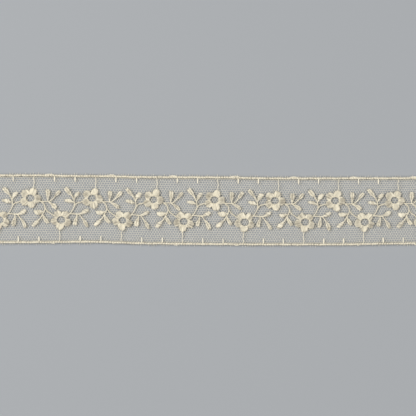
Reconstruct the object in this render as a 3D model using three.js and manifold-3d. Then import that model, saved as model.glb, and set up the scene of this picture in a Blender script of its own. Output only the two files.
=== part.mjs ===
// Embroidered net lace trim: a cut length of a narrow insertion, lying flat.
// A fine net ground carries flowers and leafy vines in raised satin stitch, and a whipped
// cord runs along each long edge. Millimetres, +Z up, +X along the trim, the face upwards.
// Every piece is drawn in the flat pattern, u along and v across, and then laid down.
import * as THREE from "three";
import { mergeVertices } from "three/addons/utils/BufferGeometryUtils.js";
import Module from "manifold-3d";

const wasm = await Module();
wasm.setup();

// Driving dimensions
const REPEAT = 25; // one repeat of the pattern along the trim
const REPEATS = 8; // whole repeats in the cut length
const LENGTH = REPEAT * REPEATS;
const CORD_LINE = 13.6; // from the middle line of the pattern to the middle of an edge cord
const CORD_WIDTH = 1.05;
const CORD_HEIGHT = 1.7;
const CORD_BEVEL = 0.31;
const NET_THICK = 1;
const GAP = 0.32; // left between neighbouring pieces
const SATIN_LOW = NET_THICK + GAP; // underside of the embroidery on the net
const PETAL_RISE = 0.55; // height of the satin stitch over its underside
const LEAF_RISE = 0.5;
const STEM_WIDTH = 0.55;
const STEM_RISE = 0.36;
const BAR_WIDTH = 0.45; // tick stitches and tie threads at the edges
const TICK_REACH = 1.9; // from the cord's inner side towards the middle
const NET_SIDE = CORD_LINE - CORD_WIDTH / 2 - GAP; // half the width of the net ground

// How the trim lies: where each edge cord runs across, at each repeat from left to right
const LIE = [
  { upper: 14.15, lower: -13.35 },
  { upper: 14.16, lower: -13.25 },
  { upper: 13.88, lower: -13.07 },
  { upper: 13.45, lower: -13.76 },
  { upper: 13.32, lower: -14.02 },
  { upper: 12.9, lower: -14.15 },
  { upper: 12.92, lower: -14.16 },
  { upper: 12.96, lower: -13.8 },
  { upper: 13.2, lower: -13.45 },
];
const EASE = 1.4; // the middle of the trim lies this far towards +X

// The two flowers. Angles in degrees, from +u; a petal spans its half angle to each side, and
// the higher its square, the squarer its end.
const EYE = { across: 1.6, up: 1.4 }; // half axes of the open eye, filled by net alone
const NOTCH_REACH = 2.45; // from the flower's middle to the notch between two petals
const NOTCH_RISE = 0.7; // share of a petal's rise that is left in the notch
// Section of the satin stitch from the eye, out 0, to the petals' rim, out 1; closed on itself
const PETAL_SECTION = [
  { out: 0, up: 0 },
  { out: 1, up: 0 },
  { out: 0.8, up: 0.8 },
  { out: 0.2, up: 1 },
  { out: 0, up: 0 },
];
const UPPER_FLOWER = {
  middle: [0.05, 4.4],
  eye: [0.25, 4.4],
  petals: [
    { points: 64.5, half: 31.5, reach: 4.35, square: 2.8 },
    { points: 137, half: 41, reach: 4.1, square: 2.2 },
    { points: 214.5, half: 36.5, reach: 4.05, square: 3.4 },
    { points: 285.5, half: 34.5, reach: 4.35, square: 2.4 },
    { points: 356.5, half: 36.5, reach: 4.5, square: 2.6 },
  ],
};
const LOWER_FLOWER = {
  middle: [12.5, -4.4],
  eye: [12.7, -4.5],
  petals: [
    { points: 44, half: 36, reach: 4.4, square: 2 },
    { points: 118.5, half: 38.5, reach: 3.95, square: 2.4 },
    { points: 193.5, half: 36.5, reach: 3.95, square: 2.6 },
    { points: 266, half: 36, reach: 4.4, square: 1.8 },
    { points: 335, half: 33, reach: 4.3, square: 3 },
  ],
};

const LEAF_FOOT = 0.15; // share of a blade's width at its base
const LEAF_TAPER = 1.7; // how slowly a blade widens from its base
const LEAF_CLOSING = 1.8; // how late a blade narrows towards its tip
const LEAF_EDGE = 0.2; // share of a blade's rise at which its edge lies
// The two vines of a repeat: the routes of their stems, then a row for each leaf blade. It is
// widest at a share of its length from its base, its middle line bows to the right of the way
// it grows, or to the left where negative, and end is the share of its width left at its tip.
const VINE_DOWN = {
  stems: [
    [[4.65, 2.95], [5.5, 2.3], [6.1, 1.35], [6.3, 0.45], [6.75, -0.4], [7.5, -1.25], [9.5, -2.65]],
    [[4.95, 3.05], [6.2, 3.05], [7.3, 3.2], [7.35, 4.4]],
    [[6.25, 0.4], [6, -0.9], [5.3, -2.1]],
    [[7.2, 3.05], [8.1, 3.15], [8.8, 3.55], [10, 4.8]],
    [[5.3, -2.1], [4.9, -3], [4.1, -4.1]],
    [[7.3, 3.05], [8.5, 2.3]],
  ],
  leaves: [
    { base: [7.3, 3.5], tip: [7.45, 7.9], width: 1.7, widest: 0.7, bow: 0.1, end: 0.45 },
    { base: [9.4, 4.1], tip: [12.3, 7.65], width: 1.4, widest: 0.74, bow: 0.05, end: 0.4 },
    { base: [7.7, 2.8], tip: [11.2, 0.25], width: 1.5, widest: 0.68, bow: -0.2, end: 0.2 },
    { base: [5.95, -0.9], tip: [1.6, -1.4], width: 1.9, widest: 0.56, bow: -0.5, end: 0.25 },
    { base: [4.5, -3.75], tip: [1.2, -6.95], width: 1.7, widest: 0.6, bow: -0.1, end: 0.4 },
    { base: [5.2, -2], tip: [7.55, -5.95], width: 1.6, widest: 0.68, bow: 0.3, end: 0.45 },
  ],
};
const VINE_UP = {
  stems: [
    [[16.35, -1.85], [17, -1.05], [17.6, 0], [18.1, 1.15], [18.65, 1.95], [19.5, 2.5], [20.95, 3.05]],
    [[16.5, -1.95], [17.4, -2], [18.5, -2.1], [20.3, -2.05]],
    [[18.2, 1.35], [18.15, 2.4], [17.95, 3.7]],
    [[18.85, -2.1], [19.1, -2.6], [19.2, -3.7]],
    [[19.3, -2.1], [20.4, -2.65], [21.5, -4.4]],
    [[17.95, 3.6], [17.5, 4.8], [16.7, 6.1]],
  ],
  leaves: [
    { base: [19.3, -2.2], tip: [23.75, -0.25], width: 1.6, widest: 0.7, bow: 0.4, end: 0.3 },
    { base: [19.2, -2.7], tip: [18.4, -6.9], width: 1.65, widest: 0.7, bow: 0, end: 0.4 },
    { base: [21, -3.5], tip: [23.4, -7.75], width: 1.5, widest: 0.72, bow: -0.3, end: 0.25 },
    { base: [17.3, 5.1], tip: [14.25, 8.9], width: 1.65, widest: 0.7, bow: 0.1, end: 0.5 },
    { base: [18, 3.75], tip: [20.4, 7.15], width: 1.6, widest: 0.62, bow: -0.35, end: 0.3 },
    { base: [18.05, 2.6], tip: [14, 3.65], width: 1.6, widest: 0.56, bow: 0.15, end: 0.2 },
  ],
};

// Along each edge, a tie thread to the flower and then two ticks, a third of a repeat apart
const TIES = {
  upper: { at: 1.72, reach: 4.2 },
  lower: { at: 12.15, reach: 3.9 },
};
const BARS_PER_REPEAT = 3;

// Fineness of the solids
const PETAL_STEPS = 6;
const STEM_SIDES = 4;
const LEAF_STEPS = 6;
const LEAF_SIDES = 4;
const LIE_STEPS_PER_REPEAT = 3;

const radians = THREE.MathUtils.degToRad;

// Where a point of the flat pattern lies. Repeats are eased along x, and the edges drift across.
function lieAt(u, side) {
  const place = THREE.MathUtils.clamp(u / REPEAT, 0, REPEATS);
  const row = Math.min(Math.floor(place), REPEATS - 1);
  const share = THREE.MathUtils.smoothstep(place - row, 0, 1);
  return THREE.MathUtils.lerp(LIE[row][side], LIE[row + 1][side], share);
}

function lay(u, v) {
  const along = u - LENGTH / 2;
  const x = along + EASE * (1 - (2 * along / LENGTH) ** 2);
  const share = (v / CORD_LINE + 1) / 2;
  return [x, THREE.MathUtils.lerp(lieAt(u, "lower"), lieAt(u, "upper"), share)];
}

function layDown(geometry) {
  const places = geometry.getAttribute("position");
  for (let i = 0; i < places.count; i++) {
    const [x, y] = lay(places.getX(i), places.getY(i));
    places.setXY(i, x, y);
  }
  geometry.computeVertexNormals();
  return geometry;
}

// Between three.js geometry and solids that can be joined and cut
function solidOf(geometry) {
  const bare = geometry.index ? geometry.toNonIndexed() : geometry.clone();
  bare.deleteAttribute("normal");
  bare.deleteAttribute("uv");
  const merged = mergeVertices(bare, 1e-4);
  const mesh = new wasm.Mesh({
    numProp: 3,
    vertProperties: new Float32Array(merged.getAttribute("position").array),
    triVerts: new Uint32Array(merged.index.array),
  });
  return new wasm.Manifold(mesh);
}

function geometryOf(solid) {
  const { vertProperties, triVerts } = solid.getMesh();
  const geometry = new THREE.BufferGeometry();
  geometry.setAttribute("position", new THREE.BufferAttribute(new Float32Array(vertProperties), 3));
  geometry.setIndex(new THREE.BufferAttribute(new Uint32Array(triVerts), 1));
  return geometry;
}

function joined(geometries) {
  return geometryOf(geometries.map(solidOf).reduce((whole, piece) => whole.add(piece)));
}

// Net ground: one flat sheet with straight cut ends
function netGround() {
  const steps = REPEATS * LIE_STEPS_PER_REPEAT;
  const outline = new THREE.Shape();
  for (let i = 0; i <= steps; i++) {
    const u = (i / steps) * LENGTH;
    if (i === 0) outline.moveTo(u, -NET_SIDE);
    else outline.lineTo(u, -NET_SIDE);
  }
  for (let i = steps; i >= 0; i--) outline.lineTo((i / steps) * LENGTH, NET_SIDE);
  return new THREE.ExtrudeGeometry(outline, { depth: NET_THICK, bevelEnabled: false });
}

// Edge cord with its ticks and tie threads, side +1 for the upper edge and -1 for the lower
function bar(u, inner, outer) {
  const geometry = new THREE.BoxGeometry(BAR_WIDTH, Math.abs(outer - inner), STEM_RISE);
  return geometry.translate(u, (inner + outer) / 2, SATIN_LOW + STEM_RISE / 2);
}

function edgeCord(side, tie) {
  const half = CORD_WIDTH / 2;
  const flat = half - CORD_BEVEL;
  const shoulder = CORD_HEIGHT - CORD_BEVEL;
  const section = new THREE.Shape([
    new THREE.Vector2(-flat, 0),
    new THREE.Vector2(flat, 0),
    new THREE.Vector2(half, CORD_BEVEL),
    new THREE.Vector2(half, shoulder),
    new THREE.Vector2(flat, CORD_HEIGHT),
    new THREE.Vector2(-flat, CORD_HEIGHT),
    new THREE.Vector2(-half, shoulder),
    new THREE.Vector2(-half, CORD_BEVEL),
  ]);
  const run = { depth: LENGTH, steps: REPEATS * LIE_STEPS_PER_REPEAT, bevelEnabled: false };
  const cord = new THREE.ExtrudeGeometry(section, run);
  cord.rotateX(Math.PI / 2).rotateZ(Math.PI / 2).translate(0, side * CORD_LINE, 0);

  const inner = side * (CORD_LINE - CORD_WIDTH / 2);
  const seat = side * CORD_LINE;
  const bars = [];
  for (let i = 0; i < REPEATS * BARS_PER_REPEAT; i++) {
    const reach = i % BARS_PER_REPEAT === 0 ? tie.reach : TICK_REACH;
    const u = tie.at + (i * REPEAT) / BARS_PER_REPEAT;
    bars.push(bar(u < LENGTH ? u : u - LENGTH, inner - side * reach, seat));
  }
  return joined([cord, ...bars]);
}

// Flower: a five-lobed ring of satin stitch round the eye, from a ring turned on a lathe
// whose radius 1 becomes the eye's edge and radius 2 the petals' rim.
function flower({ middle, eye, petals }) {
  const section = PETAL_SECTION.map(({ out, up }) => new THREE.Vector2(1 + out, up));
  const ring = new THREE.LatheGeometry(section, petals.length * PETAL_STEPS, Math.PI / 2);
  ring.rotateX(Math.PI / 2);
  const places = ring.getAttribute("position");
  for (let i = 0; i < places.count; i++) {
    const turn = Math.atan2(places.getY(i), places.getX(i)) / (2 * Math.PI) + 1;
    const steps = Math.round(turn * petals.length * PETAL_STEPS) / PETAL_STEPS;
    const petal = petals[Math.floor(steps) % petals.length];
    const offset = 2 * (steps % 1) - 1;
    const angle = radians(petal.points + offset * petal.half);
    const lobe = 1 - Math.abs(offset) ** petal.square;
    const ray = new THREE.Vector2(Math.cos(angle), Math.sin(angle));
    const opening = 1 / Math.hypot(ray.x / EYE.across, ray.y / EYE.up);
    const start = new THREE.Vector2(...eye).addScaledVector(ray, opening);
    const rim = NOTCH_REACH + (petal.reach - NOTCH_REACH) * lobe;
    const end = new THREE.Vector2(...middle).addScaledVector(ray, rim);
    const place = start.lerp(end, Math.hypot(places.getX(i), places.getY(i)) - 1);
    const rise = PETAL_RISE * THREE.MathUtils.lerp(NOTCH_RISE, 1, lobe);
    places.setXYZ(i, place.x, place.y, SATIN_LOW + Math.abs(places.getZ(i)) * rise);
  }
  return ring;
}

// Leaf blade: a spindle with a ridge along its upper side and a nearly flat underside
function leaf({ base, tip, width, widest, bow, end }) {
  const length = Math.hypot(tip[0] - base[0], tip[1] - base[1]);
  const profile = [];
  for (let i = 0; i <= LEAF_STEPS; i++) {
    const share = (1 - Math.cos((i / LEAF_STEPS) * Math.PI)) / 2;
    const rising = Math.sin((Math.PI / 2) * Math.min(share / widest, 1)) ** LEAF_TAPER;
    const closing = Math.max((share - widest) / (1 - widest), 0) ** LEAF_CLOSING;
    const swell = Math.max(rising, LEAF_FOOT) * Math.sqrt(1 - (1 - end ** 2) * closing);
    profile.push(new THREE.Vector2(i % LEAF_STEPS ? (width / 2) * swell : 0, share * length));
  }
  const blade = new THREE.LatheGeometry(profile, LEAF_SIDES);
  const places = blade.getAttribute("position");
  for (let i = 0; i < places.count; i++) {
    const share = places.getY(i) / length;
    const up = places.getZ(i) / (width / 2);
    const shift = 4 * bow * share * (1 - share);
    places.setX(i, places.getX(i) + shift);
    const level = LEAF_EDGE + up * (up > 0 ? 1 - LEAF_EDGE : LEAF_EDGE);
    places.setZ(i, SATIN_LOW + LEAF_RISE * level);
  }
  const turn = Math.atan2(tip[1] - base[1], tip[0] - base[0]) - Math.PI / 2;
  return blade.rotateZ(turn).translate(base[0], base[1], 0);
}

// Stem: a flattened round thread along a smooth route
function stem(route) {
  const level = SATIN_LOW + STEM_RISE / 2;
  const path = new THREE.CatmullRomCurve3(route.map(([u, v]) => new THREE.Vector3(u, v, 0)));
  const section = new THREE.Shape();
  for (let i = 0; i < STEM_SIDES; i++) {
    const angle = (i / STEM_SIDES) * 2 * Math.PI;
    const point = [Math.cos(angle) * STEM_WIDTH / 2, Math.sin(angle) * STEM_WIDTH / 2];
    if (i === 0) section.moveTo(...point);
    else section.lineTo(...point);
  }
  const thread = new THREE.ExtrudeGeometry(section, { steps: route.length - 1, extrudePath: path });
  return thread.scale(1, 1, STEM_RISE / STEM_WIDTH).translate(0, 0, level);
}

function vine({ stems, leaves }) {
  return joined([...stems.map(stem), ...leaves.map(leaf)]);
}

// The part of a piece that lies within the cut length
function trimmed(geometry) {
  const reach = 2 * CORD_LINE;
  const length = new THREE.BoxGeometry(LENGTH, reach, reach).translate(LENGTH / 2, 0, 0);
  return geometryOf(solidOf(geometry).intersect(solidOf(length)));
}

// Materials: the same cream cotton, spun fine for the net and glossier in the satin stitch
const NET_COTTON = { color: 0xd9d2bd, roughness: 0.95, metalness: 0 };
const SATIN_COTTON = { color: 0xf0e8d0, roughness: 0.7, metalness: 0 };
const CORD_COTTON = { color: 0xe9dfc6, roughness: 0.8, metalness: 0 };

const trim = new THREE.Group();

function addPiece(name, geometry, cotton) {
  const piece = new THREE.Mesh(layDown(geometry), new THREE.MeshStandardMaterial(cotton));
  piece.name = name;
  trim.add(piece);
}

addPiece("net_ground", netGround(), NET_COTTON);
addPiece("edge_cord_upper", edgeCord(1, TIES.upper), CORD_COTTON);
addPiece("edge_cord_lower", edgeCord(-1, TIES.lower), CORD_COTTON);
for (let i = 0; i <= REPEATS; i++) {
  const place = i * REPEAT;
  const cutThrough = i === 0 || i === REPEATS;
  const upper = flower(UPPER_FLOWER).translate(place, 0, 0);
  addPiece(`flower_upper_${i + 1}`, cutThrough ? trimmed(upper) : upper, SATIN_COTTON);
  if (i === REPEATS) break;
  addPiece(`vine_down_${i + 1}`, vine(VINE_DOWN).translate(place, 0, 0), SATIN_COTTON);
  addPiece(`flower_lower_${i + 1}`, flower(LOWER_FLOWER).translate(place, 0, 0), SATIN_COTTON);
  addPiece(`vine_up_${i + 1}`, vine(VINE_UP).translate(place, 0, 0), SATIN_COTTON);
}

export default trim;
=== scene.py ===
import math
from collections import namedtuple

import bmesh
import bpy
import numpy as np
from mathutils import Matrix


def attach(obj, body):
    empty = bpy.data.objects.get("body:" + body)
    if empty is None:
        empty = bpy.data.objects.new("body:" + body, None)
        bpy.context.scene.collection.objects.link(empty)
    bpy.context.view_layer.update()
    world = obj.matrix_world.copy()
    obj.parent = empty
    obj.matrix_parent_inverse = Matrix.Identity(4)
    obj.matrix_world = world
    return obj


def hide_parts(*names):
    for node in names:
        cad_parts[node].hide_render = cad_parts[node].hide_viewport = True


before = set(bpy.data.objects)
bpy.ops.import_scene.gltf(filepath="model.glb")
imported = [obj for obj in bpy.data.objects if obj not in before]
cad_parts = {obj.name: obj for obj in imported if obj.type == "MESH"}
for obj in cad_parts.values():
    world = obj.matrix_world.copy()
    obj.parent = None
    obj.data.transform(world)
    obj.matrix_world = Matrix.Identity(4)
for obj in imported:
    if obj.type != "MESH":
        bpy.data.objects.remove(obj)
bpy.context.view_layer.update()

# An embroidered net lace trim, thread by thread: a hexagonal net, flowers and leafy vines in
# satin stitch, and a whipped cord along each edge. Sizes are in millimetres in the flat
# pattern, u along the trim, v across it and z up, until lay() puts them where the trim lies.
# A thread's width and height are given as halves, apart from the net's. A tone is a step from
# a thread's own colour, lighter where it is positive. A SPREAD is the standard deviation of a
# random difference, and a KEY picks the random source of a piece.

MM = 0.001
TINY = 1e-9
SEED = 24
ALONG = (1, 0, 0)
UP = (0, 0, 1)

# The pattern, as in the solids. Its two edges lie this far across at each end of a repeat, and
# the middle of its length is eased along to the right.
REPEAT = 25.0
REPEATS = 8
LENGTH = REPEAT * REPEATS
CORD_LINE = 13.6
EASE = 1.4
LIE_UPPER = np.array([14.15, 14.16, 13.88, 13.45, 13.32, 12.9, 12.92, 12.96, 13.2])
LIE_LOWER = np.array([-13.35, -13.25, -13.07, -13.76, -14.02, -14.15, -14.16, -13.8, -13.45])

# Levels over the surface that the trim lies on
NET_LEVEL = 0.65
STITCH_LEVEL = 0.68
STEM_LEVEL = 0.8
CORD_LEVEL = 0.73

# Threads: tubes whose fibres twist along them
TUBE_SIDES = 4
TWIST_PITCH = 1.1
FIBRE_STRETCH = 0.3
FIBRE_SHIFT = 50
TONE_SPREAD = 0.3
THREAD_SPREAD = 0.08
ROUTE_FINENESS = 24
ROUTE_MIN_PLACES = 3

# Satin stitch: stitches rise from both ends, and bundles of them shine as streaks
STITCH_HIGH = 0.1
STITCH_STEPS = 8
SHORT_STITCH_STEPS = 6
STITCH_END = 0.55
SWAY_SPREAD = 0.025
RISE_SPREAD = 0.05
BULGE_POWER = 3.6
DISH_POWER = 4
# Painted shade on the middles of stitches that run along the trim, and how painted shade at the starts and
# a painted highlight at the ends fade along a stitch
PAINTED_SHADE_GAIN = 1.5
PAINTED_SHADE_TURN = 2.9
FADE_POWER = 3
STREAK_LIMIT = 1.6

# Whipping: turns of thread round a core
WRAP_STEPS = 8
WRAP_LEAN = 0.2
WRAP_SIZE_SPREAD = 0.05
WRAP_LEAN_SPREAD = 0.4
WRAP_FLATNESS = 0.85

# Net: holes in rows along the trim, with one near the middle of every flower. Spare columns
# and rows are cut off again. Soft waves draw it out of true and let it sag.
NET_KEY = 1
HOLES_PER_REPEAT = 24
HOLE_PITCH = REPEAT / HOLES_PER_REPEAT
HOLE_SIDES = 6
ROW_PITCH = 0.885
NET_START = (0.05, 4.42)
NET_THREAD = 0.11
NET_SIDE = CORD_LINE - 0.15
SPARE_COLUMNS = 4
SPARE_ROWS = 3
NOISE_WAVES = 6
NET_PULL = 0.08
NET_PULL_WAVE = 9
NET_RIPPLE = 0.06
NET_RIPPLE_WAVE = 3
NET_SAG = 0.05
NET_SAG_WAVE = 8
HOLE_SPREAD = 0.035
NET_FIBRE_SCALE = 1.3
WELD_DIGITS = 4

# Flowers: the middle of the flower and of its eye, then a row for each petal: the way it points
# in degrees, half the angle it spans, its reach from the middle, and how square its end is
EYE_ACROSS = 1.6
EYE_UP = 1.4
EYE_PLACE_SPREAD = 0.06
EYE_SIZE_SPREAD = 0.04
UPPER_FLOWER = {
    "key": 2,
    "middle": (0.05, 4.4),
    "eye": (0.25, 4.4),
    "petals": [
        {"points": 64.5, "half": 31.5, "reach": 4.35, "square": 2.8},
        {"points": 137, "half": 41, "reach": 4.1, "square": 2.2},
        {"points": 214.5, "half": 36.5, "reach": 4.05, "square": 3.4},
        {"points": 285.5, "half": 34.5, "reach": 4.35, "square": 2.4},
        {"points": 356.5, "half": 36.5, "reach": 4.5, "square": 2.6},
    ],
}
LOWER_FLOWER = {
    "key": 3,
    "middle": (12.5, -4.4),
    "eye": (12.7, -4.5),
    "petals": [
        {"points": 44, "half": 36, "reach": 4.4, "square": 2.0},
        {"points": 118.5, "half": 38.5, "reach": 3.95, "square": 2.4},
        {"points": 193.5, "half": 36.5, "reach": 3.95, "square": 2.6},
        {"points": 266, "half": 36, "reach": 4.4, "square": 1.8},
        {"points": 335, "half": 33, "reach": 4.3, "square": 3.0},
    ],
}

# Petals: stitches fan out from the eye in layers, the face, the padding under it and the back.
# A LAP is half a stitch's width as a share of the pitch of the stitches there.
BACK_DEPTH = 0.34
Layer = namedtuple("Layer", "stitches rise high inset streaked")
PETAL_LAYERS = [
    Layer(stitches=22, rise=0.62, high=STITCH_HIGH, inset=0.0, streaked=True),
    Layer(stitches=8, rise=0.26, high=0.22, inset=0.4, streaked=False),
    Layer(stitches=11, rise=-BACK_DEPTH, high=STITCH_HIGH, inset=0.15, streaked=False),
]
NOTCH_REACH = 2.45
NOTCH_RISE = 0.86
PETAL_START = 0.2
PETAL_FILL = 0.97
PETAL_DISH = 0.36
# Painted shade on the middles of the petals' stitches that run along the trim, least at a petal's sides
PETAL_PAINTED_SHADE = 2.0
PETAL_PAINTED_SHADE_POWER = 4
PETAL_INNER_LAP = 0.64
PETAL_OUTER_LAP = 0.62
PETAL_HALF_SPREAD = 0.8
PETAL_POINTS_SPREAD = 1.2
PETAL_REACH_SPREAD = 0.1
PETAL_SHADE_SPREAD = 0.18
PETAL_STITCH_SPREAD = 0.2
PETAL_RIM_SPREAD = 0.06
PETAL_BUNDLE = 3
PETAL_STREAK_REACH = 0.16
PETAL_STREAK_RISE = 0.07
PETAL_STREAK_TONE = 0.6

# The whipped ring round an eye
RING_TURNS = 44
RING_OUT = 0.26
RING_HALF_WIDTH = 0.19
RING_HALF_HEIGHT = 0.26
RING_LEVEL = STITCH_LEVEL + 0.24
RING_THREAD = 0.1
RING_TONE = 0.9

# Vines: the routes of the stems, then a row for each leaf: its base and tip, its width, the share
# of its length where it is widest, how far its middle line bows to the right of its growth, the
# slit left along that line, and the share of its width that is left at its tip
Leaf = namedtuple("Leaf", "base tip width widest bow slit end")
VINE_DOWN = {
    "key": 4,
    "stems": [
        [(4.3, 3.1), (5.5, 2.3), (6.1, 1.35), (6.3, 0.45), (6.75, -0.4), (7.5, -1.25), (9.95, -2.9)],
        [(4.6, 3.05), (6.2, 3.05), (7.3, 3.2), (7.35, 4.4)],
        [(6.25, 0.4), (6.0, -0.9), (5.3, -2.1)],
        [(7.2, 3.05), (8.1, 3.15), (8.8, 3.55), (10.0, 4.8)],
        [(5.3, -2.1), (4.9, -3.0), (4.1, -4.1)],
        [(7.3, 3.05), (8.5, 2.3)],
    ],
    "leaves": [
        Leaf((7.3, 3.5), (7.45, 7.9), 1.7, 0.7, 0.1, 0.38, 0.45),
        Leaf((9.4, 4.1), (12.3, 7.65), 1.4, 0.74, 0.05, 0.34, 0.4),
        Leaf((7.7, 2.8), (11.2, 0.25), 1.5, 0.68, -0.2, 0.38, 0.2),
        Leaf((5.95, -0.9), (1.6, -1.4), 1.9, 0.56, -0.5, 0.0, 0.25),
        Leaf((4.5, -3.75), (1.2, -6.95), 1.7, 0.6, -0.1, 0.0, 0.4),
        Leaf((5.2, -2.0), (7.55, -5.95), 1.6, 0.68, 0.3, 0.22, 0.45),
    ],
}
VINE_UP = {
    "key": 5,
    "stems": [
        [(16.0, -2.25), (17.0, -1.05), (17.6, 0.0), (18.1, 1.15), (18.65, 1.95), (19.5, 2.5), (21.4, 3.0)],
        [(16.4, -1.95), (17.4, -2.0), (18.5, -2.1), (20.3, -2.05)],
        [(18.2, 1.35), (18.15, 2.4), (17.95, 3.7)],
        [(18.85, -2.1), (19.1, -2.6), (19.2, -3.7)],
        [(19.3, -2.1), (20.4, -2.65), (21.5, -4.4)],
        [(17.95, 3.6), (17.5, 4.8), (16.7, 6.1)],
    ],
    "leaves": [
        Leaf((19.3, -2.2), (23.75, -0.25), 1.6, 0.7, 0.4, 0.0, 0.3),
        Leaf((19.2, -2.7), (18.4, -6.9), 1.65, 0.7, 0.0, 0.28, 0.4),
        Leaf((21.0, -3.5), (23.4, -7.75), 1.5, 0.72, -0.3, 0.38, 0.25),
        Leaf((17.3, 5.1), (14.25, 8.9), 1.65, 0.7, 0.1, 0.26, 0.5),
        Leaf((18.0, 3.75), (20.4, 7.15), 1.6, 0.62, -0.35, 0.0, 0.3),
        Leaf((18.05, 2.6), (14.0, 3.65), 1.6, 0.56, 0.15, 0.0, 0.2),
    ],
}
STEM_HALF_WIDTH = 0.17
STEM_HALF_HEIGHT = 0.24
STEM_STITCH_PITCH = 0.21
STEM_THREAD = 0.12
STEM_CORE_PITCH = 0.6
STEM_CORE_SIDES = 6

# Leaves: slanting stitches across, over a padding, and straight ones behind
LEAF_FULLNESS = 0.95
LEAF_FOOT = 0.15
LEAF_TAPER = 1.7
LEAF_CLOSING = 1.8
LEAF_SEWN = (0.06, 0.92)
LEAF_STITCH_PITCH = 0.2
LEAF_BACK_PITCH = 0.3
LEAF_LAP = 0.6
LEAF_SLANT = 0.2
LEAF_TIP_SLANT = 0.4
LEAF_RISE = 0.62
LEAF_FOOT_RISE = 0.45
LEAF_TIP_RISE = 0.45
# Painted shade on the middles of leaf stitches that run along the trim, painted shade where slit stitches
# start at the slit, a painted highlight where they end at the rim, and painted shade on the back
LEAF_PAINTED_SHADE = 0.2
VEIN_PAINTED_SHADE = 5.0
RIM_PAINTED_HIGHLIGHT = 0.5
LEAF_BACK_PAINTED_SHADE = -0.3
LEAF_TIP_SPREAD = 0.16
LEAF_WIDTH_SPREAD = 0.07
LEAF_BOW_SPREAD = 0.08
LEAF_SHADE_SPREAD = 0.25
LEAF_STITCH_SPREAD = 0.008
LEAF_BUNDLE = 2
LEAF_STREAK_REACH = 0.17
LEAF_STREAK_RISE = 0.06
LEAF_STREAK_TONE = 0.8
PADDING_SPAN = (0.02, 0.9)
PADDING_STEPS = 8
PADDING_SIDES = 8
PADDING_LEVEL = STITCH_LEVEL + 0.1
PADDING_THIN = 0.05
PADDING_HEIGHT = 0.28
PADDING_WIDTH_SHARE = 0.34
# The padding is darkened with painted shade, seen as a grey middle line
PADDING_PAINTED_SHADE = -1.6

# Edges: each has a tie thread to a flower once in a repeat, two ticks between ties, and a
# stretch where a thread that is carried along bulges out beside the cord
UPPER_EDGE = {
    "key": (6, 2), "side": 1, "tie_at": 1.72, "tie_reach": 4.6, "carried": (6.4, 10.0), "out": 0.4
}
LOWER_EDGE = {
    "key": (6, 0), "side": -1, "tie_at": 12.15, "tie_reach": 4.4, "carried": (8.7, 10.2), "out": 0.34
}
BARS_PER_REPEAT = 3

# Cords: strands whipped round a core in bundles, every second one toothed inwards. The bundles
# carry painted light and every second one painted shade, on top of tone that differs at
# random, and the core is darkened with painted shade where it shows between the turns
CORD_HALF_WIDTH = 0.34
CORD_HALF_HEIGHT = 0.58
CORD_OUTWARD = 0.06
CORD_ROUNDNESS = 0.7
CORD_WANDER = 0.04
CORD_WAVE = 0.9
CORD_PHASE = 1
CORD_WANDER_SPREAD = 0.025
CORE_INSET = 0.06
CORE_STEPS = 120
CORE_SIDES = 10
CORE_PAINTED_SHADE = -1.0
WHIP_PITCH = HOLE_PITCH / 2
WHIP_PITCH_SPREAD = 0.03
WHIP_STRANDS = 2
WHIP_STRAND_GAP = 1.7
WHIP_THREAD = 0.125
WHIP_STEPS = 11
WHIP_LEAN = 0.3
WHIP_TOOTH = 0.16
WHIP_TOOTH_RANGE = (0.4, 1.3)
BEAD_PAINTED_LIGHT = 1.1
BEAD_PAINTED_SHADE_STEP = 2.0
BEAD_TONE_SPREAD = 0.4

# Ticks: bars of three strands
TICK_REACH = 2.0
TICK_STRANDS = np.array([-0.12, 0, 0.12])
TICK_RISE = 0.42
TICK_WIDE = (0.1, 0.13)
TICK_TONE = 1.0
TICK_LEAN_SPREAD = 0.06
TICK_FRAY_SPREAD = 0.06

# Ties: two strands twisted together
TIE_STEPS = 22
TIE_SIDES = 5
TIE_RADIUS = 0.11
TIE_LEVEL = STITCH_LEVEL + 0.2
TIE_WANDER = 0.16
TIE_WAVE = 1.9
TIE_TWIST = 3.6
TIE_APART = 0.075

# The carried thread: three strands over one another
CARRIED_STEPS = 16
CARRIED_SIDES = 6
CARRIED_RADIUS = 0.17
CARRIED_LIFTS = (-0.2, 0.0, 0.2)
CARRIED_INSET = 0.1
CARRIED_BULGE = (0.7, 1.1)
CARRIED_TONE = 0.5
CARRIED_END_SPREAD = 0.3
CARRIED_OUT_SPREAD = 0.025
CARRIED_LEVEL_SPREAD = 0.02

# Stubs: cut ends of the net's threads outside the cords
STUB_RADIUS = 0.065
STUB_REACH = (0.15, 0.95)
STUB_LEAN_SPREAD = 0.15
STUB_BEND_SPREAD = 0.06
STUB_LEVEL_SPREAD = 0.15

# Cotton: the lightest and the darkest colour of every thread, the middle colour of each kind,
# and the grain of the fibres
CREAM = (0.97, 0.905, 0.735, 1)
SHADED_CREAM = (0.4, 0.36, 0.28, 1)
NET_CREAM = (0.95, 0.89, 0.73, 1)
SATIN_CREAM = (0.84, 0.78, 0.625, 1)
CORD_CREAM = (0.9, 0.835, 0.675, 1)
TONE_STEP = 0.2
GRAIN_SCALE = 2.6
GRAIN_DETAIL = 3.0
GRAIN_DEPTH = 0.03
GRAIN_ROUGHNESS = (-0.08, 0.1)
SHEEN_ROUGHNESS = 0.45
SPECULAR = 0.3

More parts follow.
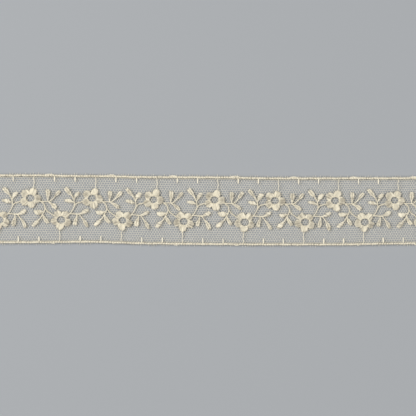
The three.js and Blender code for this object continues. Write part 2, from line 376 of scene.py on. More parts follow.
# Stage and light, in metres and watts
FLOOR_SIZE = 12
FLOOR_COLOUR = (0.35, 0.364, 0.379, 1)
FLOOR_ROUGHNESS = 0.9
SOFTBOX_SIZE = (1.2, 0.8)
SOFTBOXES = [
    {"name": "key_left", "place": (-0.85, 0.3, 1.05), "power": 18},
    {"name": "fill_right", "place": (0.85, -0.3, 1.05), "power": 9.5},
]
WHITE = (1.0, 1.0, 1.0, 1)
AMBIENT = 0.2

# Photo: the scale of its frame, and the pattern's place in it
FRAME_PIXELS = 416
PIXELS_PER_MM = 2.43
EYE_PIXEL_X = 213.75
MIDDLE_PIXEL_Y = 209.9
LENS = 300.0
CLIP_END = 20


def lay(points):
    """Points of the flat pattern in millimetres, moved to where they lie, in metres."""
    u, v, z = np.moveaxis(points, -1, 0)
    along = u - LENGTH / 2
    x = along + EASE * (1 - (2 * along / LENGTH) ** 2)
    place = np.clip(u / REPEAT, 0, REPEATS)
    row = np.minimum(place.astype(int), REPEATS - 1)
    share = place - row
    share = share**2 * (3 - 2 * share)
    upper = LIE_UPPER[row] * (1 - share) + LIE_UPPER[row + 1] * share
    lower = LIE_LOWER[row] * (1 - share) + LIE_LOWER[row + 1] * share
    y = lower + (upper - lower) * (v / CORD_LINE + 1) / 2
    return np.stack([x, y, z], -1) * MM


def unit(vectors):
    return vectors / np.maximum(np.linalg.norm(vectors, axis=-1, keepdims=True), TINY)


def chance(*key):
    """A random source that is the same in every run for the same key."""
    return np.random.default_rng([SEED, *key])


def bundled(count, size, random):
    """A random number for each of a row of stitches, the same for a bundle of neighbours."""
    bundles = np.clip(random.normal(0, 1, count // size + 1), -STREAK_LIMIT, STREAK_LIMIT)
    return np.repeat(bundles, size)[:count]


def with_level(points, level):
    """Points of the pattern's plane, at a level over the surface."""
    level = np.broadcast_to(level, points.shape[:-1])
    return np.concatenate([points, level[..., None]], -1)


def smooth_route(points, step):
    """Places at an even step along a smooth curve through the points."""
    points = np.array(points, float)
    padded = np.concatenate([2 * points[:1] - points[1:2], points, 2 * points[-1:] - points[-2:-1]])
    share = np.linspace(0, 1, ROUTE_FINENESS, endpoint=False)[:, None]
    spans = []
    for a, b, c, d in zip(padded, padded[1:], padded[2:], padded[3:]):
        curve = 2 * b + (c - a) * share + (2 * a - 5 * b + 4 * c - d) * share**2
        curve = curve + (3 * b - a - 3 * c + d) * share**3
        spans.append(curve / 2)
    fine = np.concatenate([*spans, points[-1:]])
    travel = np.concatenate([[0], np.cumsum(np.linalg.norm(np.diff(fine, axis=0), axis=1))])
    count = max(ROUTE_MIN_PLACES, round(travel[-1] / step) + 1)
    even = np.linspace(0, travel[-1], count)
    return np.stack([np.interp(even, travel, fine[:, i]) for i in range(2)], -1)


# Threads

class Threads:
    """Gathers the threads of one piece in the flat pattern and makes them one mesh."""

    def __init__(self):
        self.points = []
        self.fibres = []
        self.tones = []
        self.quads = []
        self.triangles = []
        self.count = 0

    def add(self, points, fibres, tones, quads, triangles):
        self.points.append(points)
        self.fibres.append(fibres)
        self.tones.append(tones)
        self.quads.append(quads + self.count)
        self.triangles.append(triangles + self.count)
        self.count += len(points)

    def tubes(self, paths, across, wide, high, random, sides=TUBE_SIDES, tone=0.0):
        """A closed tube along each path. across is the way a thread's width lies, wide and high
        are half its width and height, and tone makes it lighter or darker than the rest."""
        count, steps, _ = paths.shape
        tangent = unit(np.gradient(paths, axis=1))
        across = np.broadcast_to(across, paths.shape)
        across = unit(across - (across * tangent).sum(-1, keepdims=True) * tangent)
        up = np.cross(tangent, across)
        wide = np.broadcast_to(wide, (count, steps))[..., None, None]
        high = np.broadcast_to(high, (count, steps))[..., None, None]
        turn = np.arange(sides) * 2 * math.pi / sides
        ring = across[:, :, None] * wide * np.cos(turn)[:, None]
        ring = ring + up[:, :, None] * high * np.sin(turn)[:, None]
        ring = paths[:, :, None] + ring
        points = np.concatenate([ring.reshape(count, -1, 3), paths[:, [0, -1]]], 1)

        step = np.linalg.norm(np.diff(paths, axis=1), axis=-1)
        along = np.concatenate([np.zeros((count, 1)), np.cumsum(step, 1)], 1)
        twist = turn + along[..., None] * 2 * math.pi / TWIST_PITCH
        stretch = np.broadcast_to(along[..., None] * FIBRE_STRETCH, twist.shape)
        fibre = np.stack([stretch, np.cos(twist), np.sin(twist)], -1).reshape(count, -1, 3)
        ends = np.zeros((count, 2, 3))
        ends[:, 1, 0] = along[:, -1] * FIBRE_STRETCH
        fibre = np.concatenate([fibre, ends], 1) + random.uniform(0, FIBRE_SHIFT, (count, 1, 3))
        tones = np.broadcast_to(tone, (count, steps)) + random.normal(0, TONE_SPREAD, (count, 1))
        tones = np.concatenate([np.repeat(tones, sides, 1), tones[:, [0, -1]]], 1)

        size = steps * sides + 2
        first = (np.arange(count) * size)[:, None, None]
        row = np.arange(steps - 1)[:, None] * sides
        column = np.arange(sides)
        after = (column + 1) % sides
        quads = np.stack([row + column, row + after, row + sides + after, row + sides + column], -1)
        last = (steps - 1) * sides
        caps = np.concatenate(
            [
                np.stack([np.full(sides, size - 2), after, column], -1),
                np.stack([np.full(sides, size - 1), last + column, last + after], -1),
            ]
        )
        self.add(
            points.reshape(-1, 3),
            fibre.reshape(-1, 3),
            tones.ravel(),
            (quads.reshape(1, -1, 4) + first).reshape(-1, 4),
            (caps[None] + first).reshape(-1, 3),
        )

    def satin(self, starts, ends, rise, wide, random, steps=STITCH_STEPS, high=STITCH_HIGH,
              tone=0.0, dish=0.0, painted_shade=0.0, painted_start_shade=0.0, painted_end_highlight=0.0):
        """Stitches side by side from starts to ends, lifted by a padding under their middles.
        wide gives half the width at the start and at the end, dish the share by which the
        middles sink, and the last three give painted light and shade: how much painted shade darkens
        the middles where stitches run along the trim, how much painted shade darkens the starts, and
        how much a painted highlight lightens the ends."""
        share = (1 - np.cos(np.linspace(0, math.pi, steps))) / 2
        middle = np.sin(share * math.pi)
        count = len(starts)
        flat = starts[:, None] * (1 - share[:, None]) + ends[:, None] * share[:, None]
        chord = unit(ends - starts)
        side = np.stack([-chord[:, 1], chord[:, 0]], -1)
        sway = middle * random.normal(0, SWAY_SPREAD, (count, 1))
        flat = flat + side[:, None] * sway[..., None]
        bulge = np.sqrt(1 - np.abs(2 * share - 1) ** BULGE_POWER)
        bulge = bulge * (1 - dish * middle**DISH_POWER)
        lift = np.broadcast_to(rise, (count,))[:, None] * bulge
        lift = lift * (1 + random.normal(0, RISE_SPREAD, (count, 1)))
        width = wide[0] * (1 - share) + wide[1] * share
        width = width * (1 + random.normal(0, THREAD_SPREAD, (count, 1)))
        rounding = np.ones(steps)
        rounding[[0, -1]] = STITCH_END
        # Painted shade on the middles of stitches that run along the trim, painted shade on the starts and
        # a painted highlight on the ends
        along = np.minimum(PAINTED_SHADE_GAIN * chord[:, :1] ** 2, 1)
        painted_shade_tone = np.reshape(painted_shade, (-1, 1)) * along * np.sin(PAINTED_SHADE_TURN * share)
        tone = np.reshape(tone, (-1, 1)) - painted_shade_tone
        tone = tone - painted_start_shade * (1 - share) ** FADE_POWER + painted_end_highlight * share**FADE_POWER
        across = with_level(side, 0.0)[:, None]
        paths = with_level(flat, STITCH_LEVEL + lift)
        self.tubes(paths, across, width * rounding, high * rounding, random, tone=tone)

    def wraps(self, route, half_width, half_height, level, thread, random, steps=WRAP_STEPS,
              lean=WRAP_LEAN, tone=0.0, tooth=0.0, toward=1, roundness=1.0):
        """Whipping round a core along the route, one turn of thread at each point of it, that
        reaches further out by tooth on one side. A roundness under 1 makes the core squarer."""
        count = len(route)
        forward = unit(np.gradient(route, axis=0))
        side = np.stack([-forward[:, 1], forward[:, 0]], -1)
        angle = np.linspace(-math.pi / 2, 3 * math.pi / 2, steps)
        size = 1 + random.normal(0, WRAP_SIZE_SPREAD, (count, 1))
        cosine = np.sign(np.cos(angle)) * np.abs(np.cos(angle)) ** roundness
        sine = np.sign(np.sin(angle)) * np.abs(np.sin(angle)) ** roundness
        out = half_width * size * cosine
        reach = np.broadcast_to(tooth, count)[:, None]
        out = out + toward * reach * np.maximum(0, toward * np.cos(angle))
        up = half_height * size * sine
        lean = lean * (1 + random.normal(0, WRAP_LEAN_SPREAD, (count, 1)))
        drift = lean * np.linspace(-0.5, 0.5, steps)
        flat = route[:, None] + side[:, None] * out[..., None] + forward[:, None] * drift[..., None]
        across = with_level(forward, 0.0)[:, None]
        paths = with_level(flat, np.maximum(level + up, thread))
        width = thread * (1 + random.normal(0, THREAD_SPREAD, (count, 1)))
        tone = np.reshape(tone, (-1, 1))
        self.tubes(paths, -across, width, thread * WRAP_FLATNESS, random, tone=tone)

    def mesh(self, name):
        """The threads as a mesh in the flat pattern, with the attributes its material reads."""
        mesh = bpy.data.meshes.new(name)
        quads = np.concatenate(self.quads)
        triangles = np.concatenate(self.triangles)
        corners = np.concatenate([quads.ravel(), triangles.ravel()])
        sizes = np.concatenate([np.full(len(quads), 4), np.full(len(triangles), 3)])
        points = np.concatenate(self.points)
        mesh.vertices.add(len(points))
        mesh.vertices.foreach_set("co", points.ravel())
        mesh.loops.add(len(corners))
        mesh.loops.foreach_set("vertex_index", corners)
        mesh.polygons.add(len(sizes))
        mesh.polygons.foreach_set("loop_start", np.cumsum(sizes) - sizes)
        mesh.update(calc_edges=True)
        fibre = mesh.attributes.new("fibre", "FLOAT_VECTOR", "POINT")
        fibre.data.foreach_set("vector", np.concatenate(self.fibres).ravel())
        tone = mesh.attributes.new("tone", "FLOAT", "POINT")
        tone.data.foreach_set("value", np.concatenate(self.tones))
        return mesh

    def piece(self, name, node, material, cuts=()):
        """The mesh as a piece of the model: cut straight at the given places, then laid down."""
        mesh = self.mesh(name)
        for place, outward in cuts:
            cut_straight(mesh, place, outward)
        flat = np.empty(len(mesh.vertices) * 3)
        mesh.vertices.foreach_get("co", flat)
        mesh.vertices.foreach_set("co", lay(flat.reshape(-1, 3)).ravel())
        mesh.polygons.foreach_set("use_smooth", np.ones(len(mesh.polygons), bool))
        mesh.update()
        mesh.materials.append(material)
        made = bpy.data.objects.new(name, mesh)
        bpy.context.scene.collection.objects.link(made)
        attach(made, "root")
        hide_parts(node)
        return made


def cut_straight(mesh, place, outward):
    """Cuts away what lies beyond a place, in the way of outward, and closes the cut threads."""
    cut = bmesh.new()
    cut.from_mesh(mesh)
    everything = cut.verts[:] + cut.edges[:] + cut.faces[:]
    made = bmesh.ops.bisect_plane(
        cut, geom=everything, plane_co=place, plane_no=outward, clear_outer=True
    )
    edges = [e for e in made["geom_cut"] if isinstance(e, bmesh.types.BMEdge)]
    bmesh.ops.holes_fill(cut, edges=edges, sides=0)
    cut.to_mesh(mesh)
    cut.free()


def end_cuts(low, high):
    """The cuts that a piece from low to high along the trim needs at the ends of the length."""
    cuts = []
    if low < 0:
        cuts.append(((0, 0, 0), (-1, 0, 0)))
    if high > LENGTH:
        cuts.append(((LENGTH, 0, 0), (1, 0, 0)))
    return cuts


# Net

def soft_noise(points, size, random):
    """A smooth random shift of each place, with waves about this long."""
    shift = np.zeros_like(points)
    for _ in range(NOISE_WAVES):
        way = random.normal(0, 2 * math.pi / size, 2)
        push = random.normal(0, 1, 2)
        shift += np.sin(points @ way + random.uniform(0, 2 * math.pi))[..., None] * push
    return shift / math.sqrt(NOISE_WAVES)


def hole_middles(row, random):
    """The middles of the holes by column and row, every second row half a hole further on."""
    columns = HOLES_PER_REPEAT * REPEATS + 2 * SPARE_COLUMNS
    column = np.arange(columns) - SPARE_COLUMNS
    middles = np.empty((columns, len(row), 2))
    middles[..., 0] = NET_START[0] + (column[:, None] + (row % 2) / 2) * HOLE_PITCH
    middles[..., 1] = NET_START[1] + row * ROW_PITCH
    pull = NET_PULL * soft_noise(middles, NET_PULL_WAVE, random)
    ripple = NET_RIPPLE * soft_noise(middles, NET_RIPPLE_WAVE, random)
    middles += pull + ripple
    middles += random.normal(0, HOLE_SPREAD, middles.shape)
    return middles


def net_piece(material):
    """Net of diamond-section threads: each hole's rim, and ridges over and under each thread."""
    random = chance(NET_KEY)
    rows = int(2 * CORD_LINE / ROW_PITCH) + 2 * SPARE_ROWS
    first_row = -round((NET_START[1] + CORD_LINE) / ROW_PITCH) - SPARE_ROWS
    row = np.arange(rows) + first_row
    middles = hole_middles(row, random)

    odd = row[1:-1] % 2
    i = np.arange(1, len(middles) - 1)[:, None]
    j = np.arange(1, rows - 1)[None]
    around = [(i + 1, j), (i + odd, j + 1), (i - 1 + odd, j + 1)]
    around += [(i - 1, j), (i - 1 + odd, j - 1), (i + odd, j - 1)]
    here = middles[i, j]
    near = [middles[hole] for hole in around]
    knots = np.stack([(here + a + b) / 3 for a, b in zip(near, near[1:] + near[:1])], 2)
    inward = unit(here[:, :, None] - knots)
    thread = NET_THREAD / 2 * (1 + random.normal(0, THREAD_SPREAD, here.shape[:2]))
    rims = knots + inward * thread[..., None, None] / math.cos(math.pi / HOLE_SIDES)

    flat = np.concatenate([rims, knots, knots], 2)
    lift = np.repeat([0.0, NET_THREAD / 2, -NET_THREAD / 2], HOLE_SIDES)
    sag = NET_SAG * soft_noise(flat, NET_SAG_WAVE, random)[..., 0]
    points = with_level(flat, NET_LEVEL + sag + lift).reshape(-1, 3)

    rim = np.arange(HOLE_SIDES)
    after = (rim + 1) % HOLE_SIDES
    over = HOLE_SIDES
    under = 2 * HOLE_SIDES
    faces = np.concatenate(
        [
            np.stack([after, rim, rim + over, after + over], -1),
            np.stack([rim, after, after + under, rim + under], -1),
        ]
    )
    holes = here.shape[0] * here.shape[1]
    first = (np.arange(holes) * len(lift))[:, None, None]
    quads = (faces[None] + first).reshape(-1, 4)
    welded = points.round(WELD_DIGITS)
    _, kept, shared = np.unique(welded, axis=0, return_index=True, return_inverse=True)
    points = points[kept]
    quads = shared.ravel()[quads]

    threads = Threads()
    tones = random.normal(0, TONE_SPREAD, len(points))
    no_triangles = np.empty((0, 3), int)
    threads.add(points, points * NET_FIBRE_SCALE, tones, quads, no_triangles)
    cuts = end_cuts(-HOLE_PITCH, LENGTH + HOLE_PITCH)
    cuts += [((0, NET_SIDE, 0), (0, 1, 0)), ((0, -NET_SIDE, 0), (0, -1, 0))]
    return threads.piece("net", "net_ground", material, cuts)


# Flowers

def eye_reach(angle):
    """From the eye's middle to its edge."""
    return 1 / np.hypot(np.cos(angle) / EYE_ACROSS, np.sin(angle) / EYE_UP)


def rays(angle):
    return np.stack([np.cos(angle), np.sin(angle)], -1)


def petal_stitches(threads, petal, middle, eye, eye_size, random):
    half = petal["half"] + random.normal(0, PETAL_HALF_SPREAD)
    points = petal["points"] + random.normal(0, PETAL_POINTS_SPREAD)
    reach = petal["reach"] + random.normal(0, PETAL_REACH_SPREAD)
    shade = random.normal(0, PETAL_SHADE_SPREAD)
    for layer in PETAL_LAYERS:
        count = layer.stitches
        offset = np.linspace(-PETAL_FILL, PETAL_FILL, count)
        offset = offset + random.normal(0, PETAL_STITCH_SPREAD / count, count)
        angle = np.radians(points + offset * half)
        lobe = 1 - np.abs(offset) ** petal["square"]
        streak = bundled(count, PETAL_BUNDLE, random) if layer.streaked else np.zeros(count)
        rim = NOTCH_REACH + (reach - NOTCH_REACH) * lobe + PETAL_STREAK_REACH * streak
        rim = rim + random.normal(0, PETAL_RIM_SPREAD, count) - layer.inset
        inner = eye_reach(angle) * eye_size + PETAL_START + layer.inset
        starts = eye + rays(angle) * inner[:, None]
        ends = middle + rays(angle) * rim[:, None]
        step = math.radians(2 * half) / count
        wide = (PETAL_INNER_LAP * EYE_ACROSS * step, PETAL_OUTER_LAP * reach * step)
        rise = layer.rise * (NOTCH_RISE + (1 - NOTCH_RISE) * lobe)
        rise = rise * (1 + PETAL_STREAK_RISE * streak)
        # Painted shade, least at the petal's sides
        painted_shade = PETAL_PAINTED_SHADE * (1 - np.abs(offset) ** PETAL_PAINTED_SHADE_POWER)
        tone = shade + PETAL_STREAK_TONE * streak
        threads.satin(starts, ends, rise, wide, random, high=layer.high, tone=tone,
                      dish=PETAL_DISH, painted_shade=painted_shade)


def flower_piece(kind, index, name, material):
    random = chance(kind["key"], index)
    shift = (index * REPEAT, 0)
    middle = np.array(kind["middle"]) + shift
    eye = np.array(kind["eye"]) + shift + random.normal(0, EYE_PLACE_SPREAD, 2)
    eye_size = 1 + random.normal(0, EYE_SIZE_SPREAD)
    threads = Threads()
    for petal in kind["petals"]:
        petal_stitches(threads, petal, middle, eye, eye_size, random)
    angle = np.linspace(0, 2 * math.pi, RING_TURNS, endpoint=False)
    ring = eye + rays(angle) * (eye_reach(angle) * eye_size + RING_OUT)[:, None]
    threads.wraps(ring, RING_HALF_WIDTH, RING_HALF_HEIGHT, RING_LEVEL, RING_THREAD, random,
                  tone=RING_TONE)
    reach = max(petal["reach"] for petal in kind["petals"])
    cuts = end_cuts(middle[0] - reach, middle[0] + reach)
    return threads.piece(name + "_stitches", name, material, cuts)


# Vines

class LeafOutline:
    """One leaf's outline, a little unlike the pattern's. A share is of its length, from its base."""

    def __init__(self, leaf, shift, random):
        self.leaf = leaf
        self.base = np.array(leaf.base) + shift
        self.tip = np.array(leaf.tip) + shift + random.normal(0, LEAF_TIP_SPREAD, 2)
        self.length = np.linalg.norm(self.tip - self.base)
        growth = (self.tip - self.base) / self.length
        self.right = np.array([growth[1], -growth[0]])
        self.width = LEAF_FULLNESS * leaf.width * (1 + random.normal(0, LEAF_WIDTH_SPREAD))
        self.bow = leaf.bow + random.normal(0, LEAF_BOW_SPREAD)

    def closing(self, share):
        """0 as far as the widest place, and from there up to 1 at the tip."""
        widest = self.leaf.widest
        return np.clip((share - widest) / (1 - widest), 0, 1) ** LEAF_CLOSING

    def swell(self, share):
        """How wide the leaf is, as a share of its full width."""
        rising = np.sin(math.pi / 2 * np.clip(share / self.leaf.widest, 0, 1)) ** LEAF_TAPER
        falling = np.sqrt(1 - (1 - self.leaf.end**2) * self.closing(share))
        return np.maximum(rising, LEAF_FOOT) * falling

    def places(self, share, side):
        """Places on the middle line where side is 0, and on the two rims where it is -1 or 1."""
        middle = self.base + (self.tip - self.base) * share[:, None]
        bow = 4 * self.bow * share * (1 - share)
        return middle + self.right * (bow + side * self.width / 2 * self.swell(share))[:, None]


def leaf_face(threads, outline, random):
    """Stitches from rim to rim or, in a leaf with a slit, from the slit to each rim."""
    shade = random.normal(0, LEAF_SHADE_SPREAD)
    count = round(outline.length / LEAF_STITCH_PITCH)
    share = np.linspace(*LEAF_SEWN, count) + random.normal(0, LEAF_STITCH_SPREAD, count)
    closing = outline.closing(share)
    slant = LEAF_SLANT * (1 - (1 - LEAF_TIP_SLANT) * closing)
    low, high = share - slant / 2, share + slant / 2
    streak = bundled(count, LEAF_BUNDLE, random)
    reach = 1 + LEAF_STREAK_REACH * streak
    rise = LEAF_RISE * (LEAF_FOOT_RISE + (1 - LEAF_FOOT_RISE) * outline.swell(share))
    rise = rise * (1 - (1 - LEAF_TIP_RISE) * closing) * (1 + LEAF_STREAK_RISE * streak)
    tone = shade + LEAF_STREAK_TONE * streak
    thread = LEAF_LAP * LEAF_STITCH_PITCH
    slit = outline.leaf.slit
    if slit:
        gap = slit / outline.width * np.sin(math.pi * share) ** 2
        for side in (-1, 1):
            outer = outline.places(high, side * reach)
            inner = outline.places(low, 0)
            inner = inner + (outer - inner) * gap[:, None]
            # Painted shade where these stitches start at the slit and a painted highlight where they end
            # at the rim
            threads.satin(inner, outer, rise, (thread, thread), random, steps=SHORT_STITCH_STEPS,
                          tone=tone, painted_shade=LEAF_PAINTED_SHADE, painted_start_shade=VEIN_PAINTED_SHADE * slit, painted_end_highlight=RIM_PAINTED_HIGHLIGHT)
    else:
        starts = outline.places(low, -reach)
        ends = outline.places(high, reach)
        threads.satin(starts, ends, rise, (thread, thread), random, tone=tone, painted_shade=LEAF_PAINTED_SHADE)


def leaf_padding(threads, outline, random):
    share = np.linspace(*PADDING_SPAN, PADDING_STEPS)
    fill = outline.swell(share) * np.sqrt(1 - outline.closing(share))
    path = with_level(outline.places(share, 0), PADDING_LEVEL)[None]
    height = PADDING_THIN + PADDING_HEIGHT * fill
    width = PADDING_THIN + PADDING_WIDTH_SHARE * outline.width * fill
    # The padding's darker tone is painted shade
    threads.tubes(path, UP, height, width, random, sides=PADDING_SIDES, tone=PADDING_PAINTED_SHADE)


def leaf_back(threads, outline, random):
    share = np.linspace(*LEAF_SEWN, round(outline.length / LEAF_BACK_PITCH))
    thread = LEAF_LAP * LEAF_BACK_PITCH
    depth = -BACK_DEPTH * outline.swell(share)
    # The back is darkened with painted shade
    threads.satin(outline.places(share, -1), outline.places(share, 1), depth, (thread, thread),
                  random, steps=SHORT_STITCH_STEPS, tone=LEAF_BACK_PAINTED_SHADE)


def stem_stitches(threads, points, random):
    """Whipping round a core. The core's width lies upright, so its height is the stem's width."""
    route = smooth_route(points, STEM_STITCH_PITCH)
    threads.wraps(route, STEM_HALF_WIDTH, STEM_HALF_HEIGHT, STEM_LEVEL, STEM_THREAD, random)
    core = with_level(smooth_route(route, STEM_CORE_PITCH), STEM_LEVEL)[None]
    threads.tubes(core, UP, STEM_HALF_HEIGHT, STEM_HALF_WIDTH, random, sides=STEM_CORE_SIDES)


def vine_piece(kind, index, name, material):
    random = chance(kind["key"], index)
    shift = (index * REPEAT, 0)
    threads = Threads()
    for stem in kind["stems"]:
        stem_stitches(threads, np.array(stem) + shift, random)
    for leaf in kind["leaves"]:
        outline = LeafOutline(leaf, shift, random)
        leaf_face(threads, outline, random)
        leaf_padding(threads, outline, random)
        leaf_back(threads, outline, random)
    return threads.piece(name + "_stitches", name, material)


# Edges

def cord(threads, side, line, random):
    bundles = round(LENGTH / WHIP_PITCH)
    second = np.arange(bundles) % 2
    middle = (np.arange(bundles) + 0.5) * WHIP_PITCH
    middle = middle + random.normal(0, WHIP_PITCH_SPREAD, bundles)
    strand = (np.arange(WHIP_STRANDS) - (WHIP_STRANDS - 1) / 2) * WHIP_STRAND_GAP * WHIP_THREAD
    u = np.clip((middle[:, None] + strand).ravel(), WHIP_THREAD, LENGTH - WHIP_THREAD)
    wander = CORD_WANDER * np.sin(u * CORD_WAVE + CORD_PHASE)
    wander = wander + random.normal(0, CORD_WANDER_SPREAD, len(u))
    route = np.stack([u, line + wander], -1)
    tooth = WHIP_TOOTH * second * random.uniform(*WHIP_TOOTH_RANGE, bundles)
    # Painted light on the bundles and painted shade on every second one, with tone that differs at random
    tone = BEAD_PAINTED_LIGHT - BEAD_PAINTED_SHADE_STEP * second + random.normal(0, BEAD_TONE_SPREAD, bundles)
    threads.wraps(route, CORD_HALF_WIDTH, CORD_HALF_HEIGHT, CORD_LEVEL, WHIP_THREAD, random,
                  steps=WHIP_STEPS, lean=WHIP_LEAN * side, tone=np.repeat(tone, WHIP_STRANDS),
                  tooth=np.repeat(tooth, WHIP_STRANDS), toward=-side, roundness=CORD_ROUNDNESS)
    core = np.stack([np.linspace(0, LENGTH, CORE_STEPS), np.full(CORE_STEPS, line)], -1)
    # The core is darkened with painted shade where it shows between the turns
    threads.tubes(with_level(core, CORD_LEVEL)[None], UP, CORD_HALF_HEIGHT - CORE_INSET,
                  CORD_HALF_WIDTH - CORE_INSET, random, sides=CORE_SIDES, tone=CORE_PAINTED_SHADE)


def tick(threads, u, inner, outer, random):
    """A bar of strands from the cord in over the net."""
    place = u + TICK_STRANDS
    starts = np.stack([place, np.full_like(place, outer)], -1)
    lean = random.normal(0, TICK_LEAN_SPREAD)
    ends = np.stack([place + lean, np.full_like(place, inner)], -1)
    ends = ends + random.normal(0, TICK_FRAY_SPREAD, ends.shape)
    threads.satin(starts, ends, TICK_RISE, TICK_WIDE, random, tone=TICK_TONE)


def tie(threads, u, inner, outer, random):
    """Two strands twisted together that wander from the cord in to a flower."""
    v = np.linspace(outer, inner, TIE_STEPS)
    wander = TIE_WANDER * np.sin(v * TIE_WAVE + random.uniform(0, 2 * math.pi))
    wander = wander * np.sin(np.linspace(0, math.pi, TIE_STEPS))
    turn = np.stack([v * TIE_TWIST, v * TIE_TWIST + math.pi])
    places = np.stack([u + wander + TIE_APART * np.cos(turn), np.broadcast_to(v, turn.shape)], -1)
    paths = with_level(places, TIE_LEVEL + TIE_APART * np.sin(turn))
    threads.tubes(paths, ALONG, TIE_RADIUS, TIE_RADIUS, random, sides=TIE_SIDES)


def carried_thread(threads, edge, repeat, random):
    share = np.linspace(0, 1, CARRIED_STEPS)
    low, high = (place + random.normal(0, CARRIED_END_SPREAD) for place in edge["carried"])
    u = repeat * REPEAT + low + (high - low) * share
    for lift in CARRIED_LIFTS:
        bulge = np.sqrt(np.sin(share * math.pi)) * edge["out"] * random.uniform(*CARRIED_BULGE)
        v = edge["side"] * (CORD_LINE + CORD_HALF_WIDTH - CARRIED_INSET + bulge)
        v = v + random.normal(0, CARRIED_OUT_SPREAD, CARRIED_STEPS)
        level = CORD_LEVEL + lift + random.normal(0, CARRIED_LEVEL_SPREAD, CARRIED_STEPS)
        path = with_level(np.stack([u, v], -1), level)[None]
        threads.tubes(path, UP, CARRIED_RADIUS, CARRIED_RADIUS, random, sides=CARRIED_SIDES,
                      tone=CARRIED_TONE)


def stubs(threads, side, line, random):
    count = round(LENGTH / HOLE_PITCH)
    roots = np.stack([(np.arange(count) + 0.5) * HOLE_PITCH, np.full(count, line)], -1)
    reach = CORD_HALF_WIDTH + random.uniform(*STUB_REACH, count)
    tips = roots + np.stack([random.normal(0, STUB_LEAN_SPREAD, count), side * reach], -1)
    bends = (roots + tips) / 2 + random.normal(0, STUB_BEND_SPREAD, tips.shape)
    paths = with_level(np.stack([roots, bends, tips], 1), NET_LEVEL)
    paths[:, -1, 2] += random.normal(0, STUB_LEVEL_SPREAD, count)
    threads.tubes(paths, ALONG, STUB_RADIUS, STUB_RADIUS, random)


def edge_piece(edge, name, material):
    side = edge["side"]
    random = chance(*edge["key"])
    threads = Threads()
    line = side * (CORD_LINE + CORD_OUTWARD)
    cord(threads, side, line, random)
    inside = side * (CORD_LINE - CORD_HALF_WIDTH)
    for i in range(REPEATS * BARS_PER_REPEAT):
        place = (edge["tie_at"] + i * REPEAT / BARS_PER_REPEAT) % LENGTH
        if i % BARS_PER_REPEAT == 0:
            tie(threads, place, inside - side * edge["tie_reach"], line, random)
        else:
            tick(threads, place, inside - side * TICK_REACH, line, random)
    for repeat in range(REPEATS):
        carried_thread(threads, edge, repeat, random)
    stubs(threads, side, line, random)
    return threads.piece(name + "_whipping", name, material)


# Materials

def cotton(name, body, roughness, sheen, bump):
    """Spun cotton: fibres that twist along each thread, and threads of slightly unlike tone, with
    painted light and shade carried in the same tone.
    """
    material = bpy.data.materials.new(name)
    material.use_nodes = True
    nodes = material.node_tree.nodes
    links = material.node_tree.links
    shader = nodes["Principled BSDF"]
    shader.inputs["Sheen Weight"].default_value = sheen
    shader.inputs["Sheen Roughness"].default_value = SHEEN_ROUGHNESS
    shader.inputs["Specular IOR Level"].default_value = SPECULAR
    fibre = nodes.new("ShaderNodeAttribute")
    fibre.attribute_name = "fibre"
    grain = nodes.new("ShaderNodeTexNoise")
    grain.inputs["Scale"].default_value = GRAIN_SCALE
    grain.inputs["Detail"].default_value = GRAIN_DETAIL
    links.new(fibre.outputs["Vector"], grain.inputs["Vector"])
    tone = nodes.new("ShaderNodeAttribute")
    tone.attribute_name = "tone"
    mixed = nodes.new("ShaderNodeMath")
    mixed.operation = "MULTIPLY_ADD"
    mixed.inputs[1].default_value = TONE_STEP
    links.new(tone.outputs["Fac"], mixed.inputs[0])
    links.new(grain.outputs["Fac"], mixed.inputs[2])
    ramp = nodes.new("ShaderNodeValToRGB")
    ramp.color_ramp.elements[0].color = SHADED_CREAM
    ramp.color_ramp.elements[1].color = CREAM
    ramp.color_ramp.elements.new(0.5).color = body
    links.new(mixed.outputs[0], ramp.inputs["Fac"])
    links.new(ramp.outputs["Color"], shader.inputs["Base Color"])
    rough = nodes.new("ShaderNodeMapRange")
    rough.inputs["To Min"].default_value = roughness + GRAIN_ROUGHNESS[0]
    rough.inputs["To Max"].default_value = roughness + GRAIN_ROUGHNESS[1]
    links.new(grain.outputs["Fac"], rough.inputs["Value"])
    links.new(rough.outputs["Result"], shader.inputs["Roughness"])
    relief = nodes.new("ShaderNodeBump")
    relief.inputs["Strength"].default_value = bump
    relief.inputs["Distance"].default_value = GRAIN_DEPTH * MM
    links.new(grain.outputs["Fac"], relief.inputs["Height"])
    links.new(relief.outputs["Normal"], shader.inputs["Normal"])
    return material


def floor_paper():
    material = bpy.data.materials.new("floor_paper")
    material.use_nodes = True
    shader = material.node_tree.nodes["Principled BSDF"]
    shader.inputs["Base Color"].default_value = FLOOR_COLOUR
    shader.inputs["Roughness"].default_value = FLOOR_ROUGHNESS
    return material


# Pieces

net_cotton = cotton("net_cotton", NET_CREAM, roughness=0.85, sheen=0.15, bump=0.4)
satin_cotton = cotton("satin_cotton", SATIN_CREAM, roughness=0.6, sheen=0.25, bump=0.6)
cord_cotton = cotton("cord_cotton", CORD_CREAM, roughness=0.72, sheen=0.2, bump=0.6)

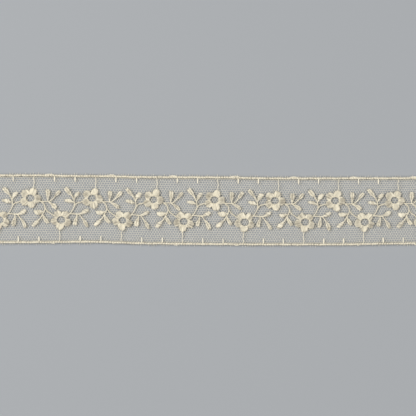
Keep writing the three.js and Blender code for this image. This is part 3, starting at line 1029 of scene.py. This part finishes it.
net = net_piece(net_cotton)
sewn_on = [
    edge_piece(UPPER_EDGE, "edge_cord_upper", cord_cotton),
    edge_piece(LOWER_EDGE, "edge_cord_lower", cord_cotton),
]
for repeat in range(REPEATS + 1):
    number = repeat + 1
    sewn_on.append(flower_piece(UPPER_FLOWER, repeat, f"flower_upper_{number}", satin_cotton))
    if repeat < REPEATS:
        sewn_on.append(vine_piece(VINE_DOWN, repeat, f"vine_down_{number}", satin_cotton))
        sewn_on.append(flower_piece(LOWER_FLOWER, repeat, f"flower_lower_{number}", satin_cotton))
        sewn_on.append(vine_piece(VINE_UP, repeat, f"vine_up_{number}", satin_cotton))

# Stage, light and camera

bpy.ops.mesh.primitive_plane_add(size=FLOOR_SIZE)
floor = bpy.context.object
floor.name = "floor"
floor.data.materials.append(floor_paper())


def softbox(name, place, power):
    """An area light that points at the middle of the trim."""
    light = bpy.data.lights.new(name, "AREA")
    light.shape = "RECTANGLE"
    light.size, light.size_y = SOFTBOX_SIZE
    light.energy = power
    lamp = bpy.data.objects.new(name, light)
    lamp.location = place
    aim = -lamp.location
    lamp.rotation_euler = aim.to_track_quat("-Z", "Y").to_euler()
    bpy.context.scene.collection.objects.link(lamp)


for box in SOFTBOXES:
    softbox(**box)

world = bpy.data.worlds.new("studio")
bpy.context.scene.world = world
world.use_nodes = True
background = world.node_tree.nodes["Background"]
background.inputs["Color"].default_value = WHITE
background.inputs["Strength"].default_value = AMBIENT
bpy.context.scene.view_settings.view_transform = "Standard"

camera = bpy.data.cameras.new("camera")
camera.lens = LENS
camera.clip_end = CLIP_END
seen = FRAME_PIXELS / PIXELS_PER_MM
viewer = bpy.data.objects.new("camera", camera)
viewer.location = (
    (EASE + (FRAME_PIXELS / 2 - EYE_PIXEL_X) / PIXELS_PER_MM) * MM,
    (MIDDLE_PIXEL_Y - FRAME_PIXELS / 2) / PIXELS_PER_MM * MM,
    (seen * LENS / camera.sensor_width + STITCH_LEVEL) * MM,
)
bpy.context.scene.collection.objects.link(viewer)
bpy.context.scene.camera = viewer
